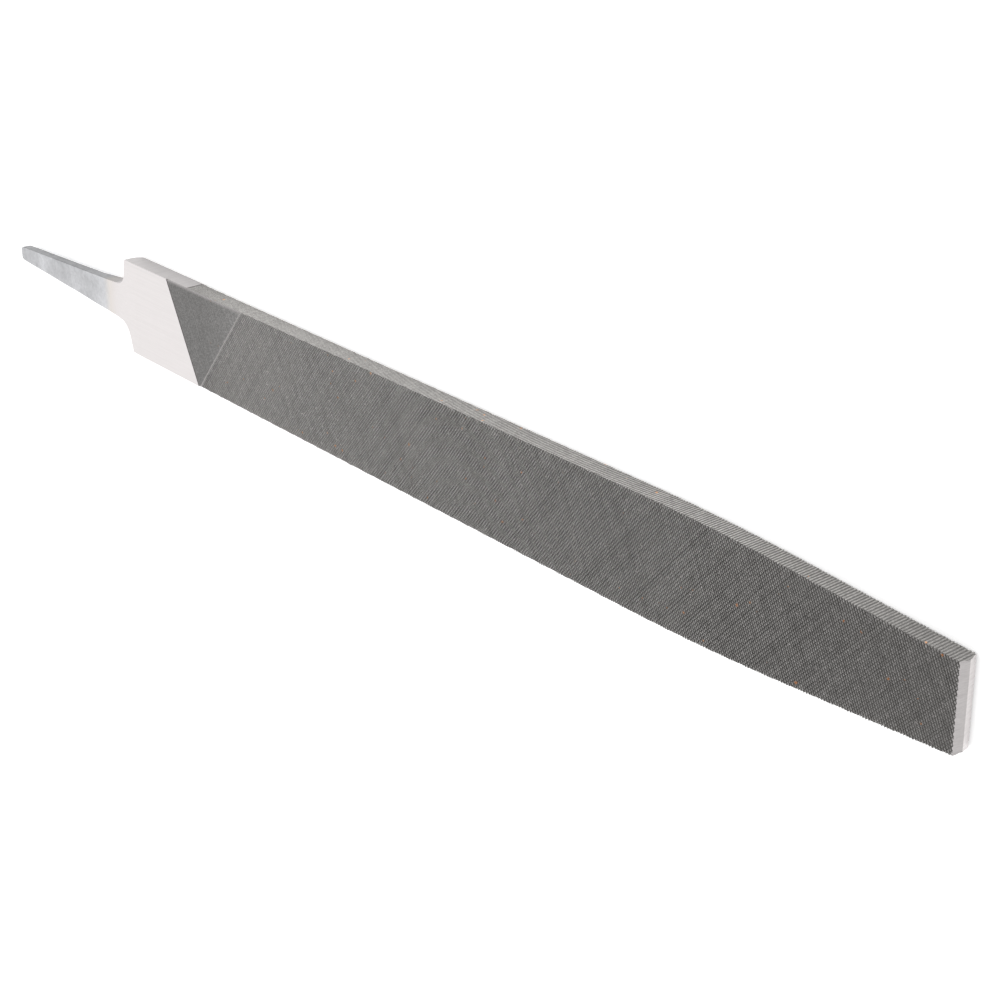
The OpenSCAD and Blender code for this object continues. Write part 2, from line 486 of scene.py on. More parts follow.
def double_cut_tree():
    """Double cut: one tooth on every crossing of the two sets of strokes."""
    tree, t, given = modifier_tree(
        "Double cut", Int=["Columns", "Rows"], Object=["Tooth", *LIMIT_INPUTS],
        Vector=["Column step", "Row step", "Origin", "Upcut normal", "Overcut normal"],
        Float=["Upcut pitch", "Overcut pitch", "Unevenness", "Seed", "Thinning", *TAPER_INPUTS])
    index = t.node("GeometryNodeInputIndex")
    column = t.math("FLOOR", t.div(index, given["Rows"]))
    row_in_column = t.sub(index, t.mul(column, given["Rows"]))
    column_y = t.split(given["Column step"])[1]
    row_y = t.split(given["Row step"])[1]
    lowest_y = t.sub(-HALF_W - SPARE, t.split(given["Origin"])[1])
    row = t.add(row_in_column, t.math("FLOOR", t.div(lowest_y, row_y)))
    shift = t.math("ROUND", t.mul(column, t.mul(t.div(column_y, row_y), -1.0)))
    whole_row = t.math("FLOOR", t.add(row, shift))
    place = t.vector("ADD", given["Origin"], t.scaled(given["Column step"], column))
    place = t.vector("ADD", place, t.scaled(given["Row step"], whole_row))
    points = t.node("GeometryNodePoints", t.mul(given["Columns"], given["Rows"]), place)
    x, y, _ = t.split(t.node("GeometryNodeInputPosition"))
    edge_y = half_width_nodes(t, x, *taper_inputs(given))
    outside = t.math("GREATER_THAN", t.math("ABSOLUTE", y), t.add(edge_y, SPARE))
    before = t.math("LESS_THAN", x, t.sub(t.split(given["Origin"])[0], 2 * MM))
    beyond = t.math("GREATER_THAN", x, RIDGE_X + SPARE)
    unused = t.math("MAXIMUM", t.math("MAXIMUM", outside, before), beyond)
    kept = t.node("GeometryNodeDeleteGeometry", points, unused, domain="POINT")
    tooth = t.node("GeometryNodeObjectInfo", given["Tooth"], True, out="Geometry")
    field = t.node("GeometryNodeInstanceOnPoints", kept, None, tooth)
    sheet = t.node("GeometryNodeMergeByDistance",
                   t.node("GeometryNodeRealizeInstances", field), None, 0.002 * MM)

    position = t.node("GeometryNodeInputPosition")
    from_origin = t.vector("SUBTRACT", position, given["Origin"])
    moves = t.combine(0.0, 0.0, 0.0)
    lower = 0.0
    for normal, pitch, salt in (("Upcut normal", "Upcut pitch", 0.0),
                                ("Overcut normal", "Overcut pitch", 17.0)):
        phase = t.div(t.dot(from_origin, given[normal]), given[pitch])
        seed = t.add(given["Seed"], salt)
        wander = stray(t, phase, seed, given["Unevenness"])
        moves = t.vector("ADD", moves, t.scaled(given[normal], wander))
        sink = t.math("ABSOLUTE", stray(t, phase, t.add(seed, 60.0), given["Unevenness"]))
        lower = t.add(lower, sink)
    jitter = t.noise("4D", out="Color", Vector=position, W=given["Seed"], Scale=950.0, Detail=1.0)
    jitter = t.vector("SUBTRACT", jitter, (0.5, 0.5, 1.0))
    single = t.mul(given["Unevenness"], TOOTH_SHAKE)
    shake = t.combine(single, single, t.mul(single, 0.45))
    moves = t.vector("ADD", moves, t.vector("MULTIPLY", jitter, shake))
    past = t.math("MAXIMUM", t.sub(t.split(position)[0], given["Taper start"]), 0.0)
    fall = t.add(t.mul(past, given["Thinning"]), lower)
    moves = t.vector("ADD", moves, t.combine(0.0, 0.0, t.mul(fall, -1.0)))
    end_in_limits(t, t.node("GeometryNodeSetPosition", sheet, None, None, moves), given)
    return tree


# ---------------------------------------------------------------- strokes and teeth

def stroke_directions():
    """Unit vectors along and across the upcut and overcut strokes."""
    s = sizes()
    up, over = s.upcut_angle, s.overcut_angle
    return {
        "upcut along": Vector((-math.cos(up), math.sin(up), 0)),
        "upcut across": Vector((math.sin(up), math.cos(up), 0)),
        "overcut along": Vector((math.cos(over), math.sin(over), 0)),
        "overcut across": Vector((math.sin(over), -math.cos(over), 0)),
    }


def stroke_steps():
    """Steps from one tooth to the next along an overcut and along an upcut stroke."""
    s = sizes()
    ways = stroke_directions()
    crossing = math.sin(s.upcut_angle + s.overcut_angle)
    to_next_row = ways["overcut along"] * (s.upcut_pitch / crossing)
    to_next_column = ways["upcut along"] * (-s.overcut_pitch / crossing)
    return to_next_row, to_next_column


def cut_origin():
    """Where the first upcut stroke and the first overcut stroke would cross."""
    s = sizes()
    up_lean = 1 / math.tan(s.upcut_angle)
    over_lean = 1 / math.tan(s.overcut_angle)
    y = HALF_W + (UPCUT_X - OVERCUT_TOP_X) / (up_lean + over_lean)
    x = UPCUT_X + (HALF_W - y) * up_lean
    return Vector((x, y, HEEL_HIGH[2]))


def tooth_patch():
    """Ten faces of one tooth: a gentle back, a short cutting edge and a steep front."""
    s = sizes()
    u, v = stroke_steps()
    depth = s.tooth_depth
    crest = 0.76
    shape = {
        "corner": (0, 0, -1.1), "gullet": (0, 0.5, -0.92), "next corner": (0, 1, -1.1),
        "notch": (crest, 0, -0.88), "edge start": (crest, 0.34, 0),
        "edge end": (crest + 0.02, 0.62, -0.05), "next notch": (crest, 1, -0.88),
        "far corner": (1, 0, -1.1), "far gullet": (1, 0.5, -0.92), "far next": (1, 1, -1.1),
    }
    bm = bmesh.new()
    at = {name: bm.verts.new(u * a + v * b + Vector((0, 0, h * depth)))
          for name, (a, b, h) in shape.items()}
    faces = (
        ("corner", "edge start", "notch"), ("corner", "gullet", "edge start"),
        ("gullet", "edge end", "edge start"), ("gullet", "next corner", "edge end"),
        ("next corner", "next notch", "edge end"),
        ("notch", "edge start", "far corner"), ("edge start", "far gullet", "far corner"),
        ("edge start", "edge end", "far gullet"), ("edge end", "far next", "far gullet"),
        ("edge end", "next notch", "far next"),
    )
    for names in faces:
        face = bm.faces.new([at[n] for n in names])
        face.normal_update()
        if face.normal.z < 0:
            face.normal_flip()
    return new_object("tooth_pattern", mesh_from(bm, "tooth_pattern"))


def face_ring(x_left, x_right, left_bevel, right_bevel, at_point=False):
    """Corners of the space for one face's cut at a station that may slant."""
    above = 1 * MM
    ring = []
    for x, side, bevel, order in ((x_left, 1, left_bevel, 1), (x_right, -1, right_bevel, -1)):
        top = HEEL_HIGH[2] - thickness_fall(x)
        across, down = bevel
        edge_y = half_width(x) - across
        low = (edge_y + across / down * CUT_DEPTH, top - CUT_DEPTH)
        high = (edge_y - across / down * above, top + above)
        pair = [Vector((x, side * y, z)) for y, z in (low, high)]
        if at_point:
            for corner in pair:
                corner.x = facet_x(corner.z - MID_Z)
        ring += pair[::order]
    return ring


def outline_solid(name, rings, caps, material):
    made = new_object(name, mesh_from(loft(rings, caps), name))
    made.data.materials.append(material)
    return made


def run_across(angle):
    """How far a stroke at this angle runs along the file while it crosses the whole width."""
    return 2 * HALF_W / math.tan(angle)


def lead_in_outline(material):
    lean = run_across(sizes().upcut_angle)
    over_lean = run_across(sizes().overcut_angle)
    wide, slim = (0.75 * MM, 0.36 * MM), (0.1 * MM, 0.1 * MM)
    start = face_ring(UPCUT_X, UPCUT_X + lean, wide, slim)
    end = face_ring(OVERCUT_TOP_X, OVERCUT_TOP_X - over_lean, wide, slim)
    burr = 0.17 * MM / CUT_DEPTH
    for low, high in ((end[0], end[1]), (end[3], end[2])):
        high.x -= burr * (high.z - low.z)
    return outline_solid("lead_in_outline", [start, end], [(0, 1, 2, 3)], material)


def face_outline(material):
    start = OVERCUT_TOP_X
    corners = [(0.08 * MM, 0.08 * MM)] * 2
    stations = blade_stations(taper_start_x(), body_end_x())[:-1]
    rings = [face_ring(start, start - run_across(sizes().overcut_angle), *corners)]
    rings += [face_ring(x, x, *corners) for x in stations]
    rings.append(face_ring(body_end_x(), body_end_x(), *corners, at_point=True))
    return outline_solid("face_outline", rings, [(0, 1, 2, 3)], material)


def edge_outline(material):
    def ring(x, at_point=False):
        core = HALF_T - CUT_DEPTH - thickness_fall(x)
        inner, outer = half_width(x) - CUT_DEPTH, half_width(x) + 1 * MM
        corners = [(inner, -core), (outer, -core), (outer, 0),
                   (outer, core), (inner, core), (inner, 0)]
        return [Vector((facet_x(z) if at_point else x, y, MID_Z + z)) for y, z in corners]

    stations = blade_stations(EDGE_CUT_X, body_end_x())[:-1]
    rings = [ring(x) for x in stations] + [ring(body_end_x(), at_point=True)]
    return outline_solid("edge_outline", rings, [(0, 1, 2, 5), (5, 2, 3, 4)], material)


def common_tree():
    """The steel that two closed meshes share."""
    tree, t, given = modifier_tree("Shared steel", Object=["Side", "Outline"])
    shared = common_part(t, bodies_in(t, [given["Side"], given["Outline"]]))
    end_tree(t, shared, given["Material"])
    return tree


# ---------------------------------------------------------------- toothed pieces

def settle_finishes(mesh, finishes):
    """Leaves the given finishes on a mesh, in their own order, each on its own faces."""
    order = {finish.name: i for i, finish in enumerate(finishes)}
    found = [order[m.name] for m in mesh.materials if m]
    last = len(found) - 1
    slots = [found[min(face.material_index, last)] for face in mesh.polygons]
    mesh.materials.clear()
    for finish in finishes:
        mesh.materials.append(finish)
    mesh.polygons.foreach_set("material_index", slots)
    mesh.update()


def side_slabs():
    """Closed slabs whose toothed faces are the file's left and right edges."""
    s = sizes()
    tree = edge_tree()
    slabs = []
    for name, seed in (("left_side", 3.0), ("right_side", 9.0)):
        slab = grown(name, tree, {
            "Pitch": s.edge_pitch, "Depth": s.edge_depth, "Start": EDGE_CUT_X,
            "Count": math.ceil((RIDGE_X - EDGE_CUT_X) / s.edge_pitch) + 1,
            "Half height": HALF_T + 1.5 * MM, "Reach": 2 * HALF_W + 8 * MM,
            "Unevenness": s.unevenness / 2, "Seed": seed, **taper_values(),
            "Material": steel("cut_edge_steel")})
        settle_finishes(slab.data, [steel("cut_edge_steel")])
        slabs.append(slab)
    turn_over(slabs[1].data)
    return slabs


def side_facing(sides, left):
    """The one of two side slabs that now gives the left, or the right, edge."""
    middle = [sum(v.co.y for v in side.data.vertices) for side in sides]
    at_left = 0 if middle[0] < middle[1] else 1
    return sides[at_left if left else 1 - at_left]


def toothed_pair(names, nodes, finish, outline, tree, values, seeds):
    """Cuts one toothed piece for the upper face and one for the lower face."""
    sides = side_slabs()
    finishes = [steel(finish), steel("cut_edge_steel"), outline.data.materials[0]]
    for i, (name, node, seed) in enumerate(zip(names, nodes, seeds)):
        piece = grown(name, tree, {
            **values, "Seed": seed, "Outline": outline, "Left side": side_facing(sides, True),
            "Right side": side_facing(sides, False), "Material": finishes[0]})
        settle_finishes(piece.data, finishes)
        if i == 1:
            turn_over(piece.data)
        check_size(piece, node)
        stand_for(piece, "cut_face", node)
        for side in sides:
            turn_over(side.data)
    for helper in (*sides, outline):
        remove(helper)


def check_size(piece, node):
    """Stops if a piece came out empty or reaches past the box of the node it stands for."""
    low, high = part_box(node)
    slack = 0.02 * MM
    if not piece.data.vertices:
        raise RuntimeError(piece.name + " came out empty")
    for i in range(3):
        values = [v.co[i] for v in piece.data.vertices]
        if min(values) < low[i] - slack or max(values) > high[i] + slack:
            raise RuntimeError(piece.name + " reaches past " + node)


def stand_for(piece, slot, *nodes):
    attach(piece, BODY)
    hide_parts(*nodes)


def double_cut_values(tooth):
    s = sizes()
    ways = stroke_directions()
    row, up_row = stroke_steps()
    column = row + up_row
    run = column.x - column.y / row.y * row.x
    fill_corner = 24
    return {
        "Tooth": tooth, "Column step": tuple(column), "Row step": tuple(row),
        "Origin": tuple(cut_origin()),
        "Columns": math.ceil((RIDGE_X - cut_origin().x) / run) + fill_corner,
        "Rows": math.ceil((2 * HALF_W + 3 * MM) / row.y) + 2,
        "Upcut normal": tuple(ways["upcut across"]), "Upcut pitch": s.upcut_pitch,
        "Overcut normal": tuple(ways["overcut across"]), "Overcut pitch": s.overcut_pitch,
        "Unevenness": s.unevenness,
        "Thinning": thinning(), **taper_values()}


def single_cut_values():
    s = sizes()
    ways = stroke_directions()
    reach = (OVERCUT_TOP_X - UPCUT_X) * math.sin(s.upcut_angle)
    return {
        "Pitch": s.upcut_pitch, "Depth": s.tooth_depth,
        "Origin": (UPCUT_X, HALF_W, HEEL_HIGH[2]), "Across": tuple(ways["upcut across"]),
        "Along": tuple(ways["upcut along"] * (3 * HALF_W)),
        "Count": math.ceil(reach / s.upcut_pitch) + 3, "Unevenness": s.unevenness}


# ---------------------------------------------------------------- heel and tang

SHOULDER_X = ROOT_X + 7 * MM
THINNING_X = SHOULDER_X + 4 * MM
ROOT_HALF_T = (TANG_HIGH[2] - TANG_LOW[2]) / 2
# Loss of half width for each unit of the tang's length, and of half thickness over all of it
TANG_NARROWING = 0.0504
TANG_THINNING = 0.15 * MM
# Radii of the tang's rounded end, seen from above and, from the side, above and below
END_RADIUS = 2.1 * MM
UPPER_END_RADIUS = 0.9 * MM
LOWER_END_RADIUS = 1.9 * MM


def rolled_shoulders(bm):
    """Rolls the lower edge of both shoulders over, as the forging leaves it."""
    roll, steps, fade = 3.2 * MM, 7, 6 * MM
    flat_half_w, spread, lip = 6.5 * MM, 3.5 * MM, 0.5 * MM
    for i in range(1, steps + 1):
        z = HEEL_LOW[2] + roll * (1 - math.cos(math.pi / 2 * i / steps))
        bm.normal_update()
        near = [f for f in bm.faces
                if f.calc_center_median().x < THINNING_X and abs(f.normal.z) < 0.5]
        parts = [*near, *(e for f in near for e in f.edges), *(v for f in near for v in f.verts)]
        bmesh.ops.bisect_plane(bm, geom=list(dict.fromkeys(parts)), dist=WELD,
                               plane_co=(0, 0, z), plane_no=(0, 0, 1))
    fall = (HALF_T - ROOT_HALF_T) / (THINNING_X - ROOT_X)
    for v in bm.verts:
        height = v.co.z - HEEL_LOW[2]
        past = max(v.co.x - SHOULDER_X, 0)
        if past > fade or height >= roll:
            continue
        side = min(max((abs(v.co.y) - flat_half_w) / spread, 0), 1)
        share = side * side * (3 - 2 * side) * (1 - past / fade)
        rise = roll - height
        v.co.x += share * (roll - math.sqrt(max(roll * roll - rise * rise, 0)))
        floor = HEEL_LOW[2] + fall * max(THINNING_X - v.co.x, 0)
        v.co.z = max(v.co.z, floor) if height > lip else floor
    bmesh.ops.remove_doubles(bm, verts=bm.verts[:], dist=5 * WELD)
    bmesh.ops.dissolve_degenerate(bm, edges=bm.edges[:], dist=5 * WELD)


def outer_edges(bm):
    """Sharp outer edges of the heel, without those that meet other pieces."""
    chosen = []
    for edge in bm.edges:
        if len(edge.link_faces) != 2 or edge.calc_face_angle(0) < math.radians(35):
            continue
        ends = [v.co for v in edge.verts]
        forged = all(p.x < THINNING_X + 0.1 * MM for p in ends)
        at_rim = all(abs(abs(p.z - MID_Z) - HALF_T) < 0.01 * MM for p in ends)
        at_joint = all(p.x < ROOT_X + 0.01 * MM for p in ends)
        at_cut = any(f.normal.x > 0.5 for f in edge.link_faces)
        if (forged or at_rim) and not at_joint and not at_cut:
            chosen.append(edge)
    return chosen


def heel_mesh():
    bm = bmesh.new()
    bm.from_mesh(bpy.data.objects["heel"].data)
    bmesh.ops.remove_doubles(bm, verts=bm.verts[:], dist=WELD)
    bmesh.ops.dissolve_limit(bm, angle_limit=0.001, verts=bm.verts[:], edges=bm.edges[:])
    rolled_shoulders(bm)
    bm.normal_update()
    bmesh.ops.bevel(bm, geom=outer_edges(bm), offset=0.18 * MM, segments=2, profile=0.5,
                    affect="EDGES", clamp_overlap=True)
    bmesh.ops.triangulate(bm, faces=bm.faces[:])
    bmesh.ops.recalc_face_normals(bm, faces=bm.faces[:])
    # Upright and rolled faces take the darker copy of the ground steel: painted shade on the
    # sides.
    for face in bm.faces:
        rolled = face.normal.x < -0.2 and face.normal.z > -0.95
        face.material_index = 1 if rolled or abs(face.normal.z) < 0.5 else 0
    return mesh_from(bm, "ground_heel")


def rounding(left, radius):
    """How far a rounded end has come in where this much length is left."""
    if left >= radius:
        return 0
    return radius - math.sqrt(radius ** 2 - (radius - left) ** 2)


def tang_ring(x):
    """Section of the tang at x: flat sides, nearly sharp above and rounded below."""
    gone = ROOT_X - x
    left = x - TANG_LOW[0]
    half_w = TANG_HIGH[1] - TANG_NARROWING * gone
    half_t = ROOT_HALF_T - TANG_THINNING * gone / (gone + left)
    half_w -= rounding(left, END_RADIUS)
    settled = min(gone / (14 * MM), 1)
    height = {1: half_t - rounding(left, UPPER_END_RADIUS),
              -1: half_t - 0.25 * MM * settled - rounding(left, LOWER_END_RADIUS)}
    radii = {1: 0.2 * MM + 0.15 * MM * settled, -1: 0.2 * MM + 1.6 * MM * settled}
    arc, flat = 6, 6
    corners = []
    for quarter, (sy, sz) in enumerate(((1, 1), (-1, 1), (-1, -1), (1, -1))):
        r = min(radii[sz], half_w * 0.9, height[sz] * 0.9)
        turns = [math.pi / 2 * (quarter + i / arc) for i in range(arc + 1)]
        middle_y, middle_z = sy * (half_w - r), sz * (height[sz] - r)
        corners.append([(middle_y + r * math.cos(turn), middle_z + r * math.sin(turn))
                        for turn in turns])
    outline = []
    for corner, following in zip(corners, corners[1:] + corners[:1]):
        outline += corner
        for i in range(1, flat):
            outline.append(tuple(a + (b - a) * i / flat for a, b in zip(corner[-1], following[0])))
    worked = min(gone / (6 * MM), 1)
    ring = []
    for y, z in outline:
        long_wave = noise.noise(Vector((x * 110, y * 160, z * 160 + 7)))
        short_wave = noise.noise(Vector((x * 420, y * 420, z * 420 + 31)))
        dent = (0.5 + 0.5 * long_wave) * 0.16 * MM + (0.5 + 0.5 * short_wave) * 0.05 * MM
        inwards = Vector((0, -y, -z)).normalized() * dent * worked
        ring.append(Vector((x, y, z + MID_Z)) + inwards)
    return ring


def tang_mesh():
    steps, end_steps = 88, 12
    length = ROOT_X - TANG_LOW[0]
    stations = [ROOT_X - length * i / steps for i in range(steps)]
    stations = [x for x in stations if x > TANG_LOW[0] + END_RADIUS]
    for i in range(1, end_steps + 1):
        left = END_RADIUS * (1 - math.sin(math.pi / 2 * i / end_steps))
        stations.append(TANG_LOW[0] + left + 2 * WELD)
    rings = [tang_ring(x) for x in stations]
    whole = tuple(range(len(rings[0])))
    bm = loft(rings, [whole])
    bm.normal_update()
    # Faces that look sideways take the darker copy of the forged steel: painted shade on the
    # sides.
    for face in bm.faces:
        face.material_index = 1 if abs(face.normal.y) > 0.75 else 0
    mesh = mesh_from(bm, "forged_tang")
    mesh.shade_smooth()
    mesh.set_sharp_from_angle(angle=math.radians(40))
    return mesh


# ---------------------------------------------------------------- shader groups

def shader_group(name, inputs, outputs):
    """A shader node group with named inputs (kind, default) and outputs (kind)."""
    tree = bpy.data.node_groups.new(name, "ShaderNodeTree")
    for label, (kind, value) in inputs.items():
        socket = tree.interface.new_socket(label, in_out="INPUT", socket_type="NodeSocket" + kind)
        socket.default_value = value
    for label, kind in outputs.items():
        tree.interface.new_socket(label, in_out="OUTPUT", socket_type="NodeSocket" + kind)
    t = Tree(tree)
    given = t.node("NodeGroupInput", out=None)
    put_out = t.node("NodeGroupOutput", out=None)
    return tree, t, given.outputs, put_out.inputs


def kept_group(name, make):
    return bpy.data.node_groups.get(name) or make(name)


def stroke_lines(name):
    """Fine straight scratches; Scale says how closely they lie along each direction."""
    tree, t, given, put_out = shader_group(
        name, {"Scale": ("Vector", (1, 1, 1)), "Seed": ("Float", 0.0)},
        {"Lines": "Float", "Bands": "Float"})
    fine = t.vector("MULTIPLY", t.place(), given["Scale"])
    t.put(put_out["Lines"], t.noise(
        "4D", Vector=fine, W=given["Seed"], Scale=1.0, Detail=3.0, Roughness=0.7))
    t.put(put_out["Bands"], t.noise(
        "4D", Vector=t.scaled(fine, 0.13), W=given["Seed"], Scale=1.0, Detail=2.0, Roughness=0.5))
    return tree


def mottle(name):
    """Soft cloudy patches at a size in millimetres."""
    tree, t, given, put_out = shader_group(
        name, {"Size": ("Float", 5.0), "Seed": ("Float", 0.0), "Contrast": ("Float", 1.0)},
        {"Patches": "Float"})
    cloud = t.noise("4D", Vector=t.place(), W=given["Seed"], Scale=t.div(1000.0, given["Size"]),
                    Detail=5.0, Roughness=0.62)
    spread = t.mul(t.sub(cloud, 0.5), given["Contrast"])
    t.put(put_out["Patches"], t.math("ADD", spread, 0.5, clamp=True))
    return tree


def freckles(name):
    """A few small spots scattered over the steel, used for rust freckles and for painted highlight
    specks.
    """
    tree, t, given, put_out = shader_group(
        name, {"Spacing": ("Float", 6.0), "Size": ("Float", 0.1), "Share": ("Float", 0.1)},
        {"Spots": "Float"})
    cells = t.node("ShaderNodeTexVoronoi", out=None, inputs={
        "Vector": t.place(), "Scale": t.div(1000.0, given["Spacing"])})
    distance = t.mul(cells.outputs["Distance"], given["Spacing"])
    chance = t.split(cells.outputs["Color"])
    picked = t.math("LESS_THAN", chance[0], given["Share"])
    reach = t.mul(given["Size"], t.add(0.4, chance[1]))
    inside = t.math("SUBTRACT", 1.0, t.div(distance, reach), clamp=True)
    t.put(put_out["Spots"], t.mul(picked, t.math("MINIMUM", t.mul(inside, 2.5), 1.0)))
    return tree


def cut_depth_group(name):
    """How deep a point lies below the tips of the teeth, from 0 at a tip to 1 in a gullet."""
    tree, t, given, put_out = shader_group(
        name, {"Depth": ("Float", 0.25 * MM), "Taper start": ("Float", 0.1),
               "Taper curve": ("Float", 0.045), "Taper slope": ("Float", 0.07),
               "Thinning": ("Float", 0.002)},
        {"In face": "Float", "In edge": "Float", "At rim": "Float"})
    x, y, z = t.split(t.place())
    past = t.math("MAXIMUM", t.sub(x, given["Taper start"]), 0.0)
    top = t.sub(HALF_T, t.mul(past, given["Thinning"]))
    below = t.sub(top, t.math("ABSOLUTE", t.sub(z, MID_Z)))
    t.put(put_out["In face"], t.math("DIVIDE", below, given["Depth"], clamp=True))
    side = half_width_nodes(t, x, *taper_inputs(given))
    within = t.sub(side, t.math("ABSOLUTE", y))
    t.put(put_out["In edge"], t.math("DIVIDE", within, given["Depth"], clamp=True))
    near_end = t.sub(body_end_x(), x)
    nearest = t.math("MINIMUM", within, near_end)
    t.put(put_out["At rim"], between(t, nearest, 0.3 * MM, 1.0 * MM, 1.0, 0.0))
    return tree


def blend(t, share, first, second):
    """Mixes two colours, each a socket or three numbers."""
    made = t.node("ShaderNodeMix", out=None, data_type="RGBA")
    t.put(made.inputs[0], share)
    for socket, value in ((made.inputs[6], first), (made.inputs[7], second)):
        t.put(socket, value if isinstance(value, bpy.types.NodeSocket) else (*value, 1))
    return made.outputs[2]


def between(t, value, low, high, to_low=0.0, to_high=1.0):
    """Maps a value from one range to another and holds it there."""
    return t.node("ShaderNodeMapRange", value, low, high, to_low, to_high)


def group_in(t, tree, **values):
    made = t.node("ShaderNodeGroup", out=None, node_tree=tree)
    for label, value in values.items():
        t.put(made.inputs[label.replace("_", " ")], value)
    return made.outputs


def new_steel(name):
    material = bpy.data.materials.new(name)
    material.use_nodes = True
    material.node_tree.nodes.clear()
    t = Tree(material.node_tree)
    shader = t.node("ShaderNodeBsdfPrincipled", out=None, inputs={"Metallic": 1.0})
    surface = t.node("ShaderNodeOutputMaterial", out=None)
    t.put(surface.inputs["Surface"], shader.outputs[0])
    return material, t, shader.inputs


def darker(colour, share):
    """A colour made darker, or lighter where share is above 1, and held below white."""
    return tuple(min(c * share, 0.95) for c in colour)


def raise_up(t, shader, height, distance, strength=1.0):
    bump = t.node("ShaderNodeBump", inputs={
        "Strength": strength, "Distance": distance, "Height": height})
    t.put(shader["Normal"], bump)


def patches(t, size, seed, contrast):
    return group_in(t, kept_group("Mottle", mottle), Size=size, Seed=seed,
                    Contrast=contrast)["Patches"]


def spots(t, spacing, size, share):
    return group_in(t, kept_group("Rust freckles", freckles), Spacing=spacing, Size=size,
                    Share=share)["Spots"]


def rust_over(t, base, spacing, size, share):
    return blend(t, t.mul(spots(t, spacing, size, share), 0.85), base, tuple(colours().rust))


def layered(t, tone, base, layers):
    """Lays darker or lighter shares of a base colour over a tone, one after another."""
    for share, factor in layers:
        tone = blend(t, share, tone, darker(base, factor))
    return tone


def ground_steel(name, tint=1.0, scale=(60, 9000, 9000), seed=0.0, above=None, marks=0.07):
    """Bright steel with the fine lines of a grinding wheel.

    Where above is given, it is the tint of the steel above mid thickness, a painted shade on the
    upper half. Marks says how dark the lines are.
    """
    material, t, shader = new_steel(name)
    base = darker(colours().ground, tint)
    lines = group_in(t, kept_group("Grinding lines", stroke_lines), Scale=scale, Seed=seed)
    cloud = patches(t, 4.0, seed + 2, 1.6)
    shade = between(t, lines["Lines"], 0.3, 0.7)
    tone = blend(t, shade, darker(base, 1 - marks), darker(base, 1 + marks * 0.4))
    tone = blend(t, t.mul(cloud, 0.25), tone, darker(base, 0.9))
    # Painted shade: the steel above mid thickness is darkened to the given upper tint.
    if above:
        z = t.split(t.place())[2]
        tone = blend(t, t.mul(t.math("GREATER_THAN", z, MID_Z), 1 - above / tint), tone, (0, 0, 0))
    t.put(shader["Base Color"], rust_over(t, tone, 5.0, 0.1, 0.04))
    t.put(shader["Roughness"], between(t, lines["Bands"], 0.2, 0.8, 0.26, 0.42))
    raise_up(t, shader, lines["Lines"], 0.004 * MM)
    return material


def forged_steel(name, tint=1.0):
    """Dull forged steel, cloudy grey with scale marks and a straw tint beside the heel."""
    material, t, shader = new_steel(name)
    c = colours()
    forged = darker(c.forged, tint)
    coarse = patches(t, 7.0, 1.0, 3.4)
    fine = patches(t, 0.9, 4.0, 2.0)
    x = t.split(t.place())[0]
    warped = t.add(x, t.mul(t.sub(coarse, 0.5), 1.2 * MM))
    pale = between(t, warped, ROOT_X - 14 * MM, ROOT_X - 6 * MM, 0.0, 0.35)
    straw = between(t, warped, ROOT_X - 8.2 * MM, ROOT_X - 4.8 * MM)
    bright = between(t, warped, ROOT_X - 5.0 * MM, ROOT_X - 1.2 * MM)
    tone = blend(t, coarse, darker(forged, 0.78), darker(forged, 1.16))
    tone = layered(t, tone, forged, ((t.mul(fine, 0.65), 0.7), (pale, 1.35)))
    tone = blend(t, straw, tone, darker(c.straw, tint))
    tone = blend(t, bright, tone, darker(c.ground, tint))
    t.put(shader["Base Color"], rust_over(t, tone, 4.0, 0.14, 0.05))
    t.put(shader["Roughness"], between(t, fine, 0.0, 1.0, 0.38, 0.55))
    raise_up(t, shader, t.add(t.mul(coarse, 0.6), fine), 0.03 * MM)
    return material


def painted_overcut_start_highlight(t):
    """A slim painted highlight line where the overcut starts on either face."""
    x, y, z = t.split(t.place())
    side = t.math("SIGN", t.sub(z, MID_Z))
    across = stroke_directions()["overcut across"]
    off_line = t.add(t.mul(t.sub(x, OVERCUT_TOP_X), across.x),
                     t.mul(t.sub(t.mul(y, side), HALF_W), across.y))
    away = t.math("ABSOLUTE", t.add(off_line, 0.1 * MM))
    return between(t, away, 0.06 * MM, 0.17 * MM, 1.0, 0.0)


